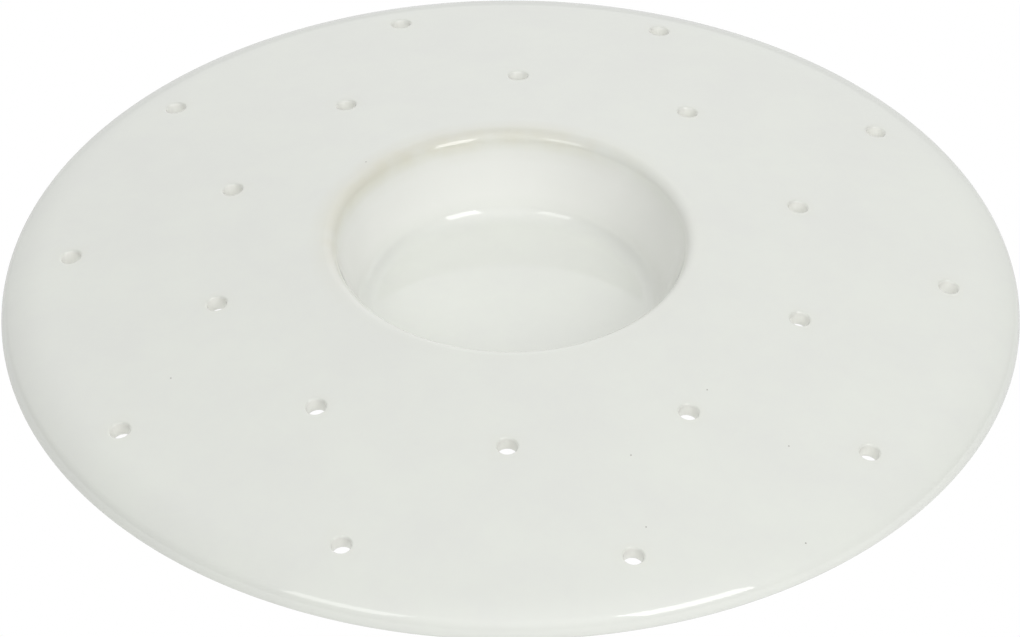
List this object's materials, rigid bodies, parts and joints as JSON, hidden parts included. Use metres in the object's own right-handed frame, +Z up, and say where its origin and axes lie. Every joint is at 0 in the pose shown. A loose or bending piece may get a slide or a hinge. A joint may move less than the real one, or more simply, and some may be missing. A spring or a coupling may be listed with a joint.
{
  "type": "candle plate",
  "caption": "Round domed ceramic candle plate with a deep central well for a pillar candle, rings of small through holes, a rolled rim and a dry foot ring.",
  "frame": {"origin": "bottom centre of the foot ring, on the plate's axis, in the plane of the table", "axes": "+Z up along the plate's axis, +X to the right of the picture's view, -Y towards the viewer"},
  "size_m": [0.25, 0.25, 0.0277],
  "materials": {
    "fired_clay": "bare fired clay, matt and slightly rough, warm cream",
    "white_glaze": "glossy white glass glaze, warmer where it is thin on edges, with a few pinholes"
  },
  "bodies": {
    "root": {"clay_body": "fired_clay", "glaze_coat": "white_glaze", "base_glaze": "white_glaze"}
  },
  "joints": []
}
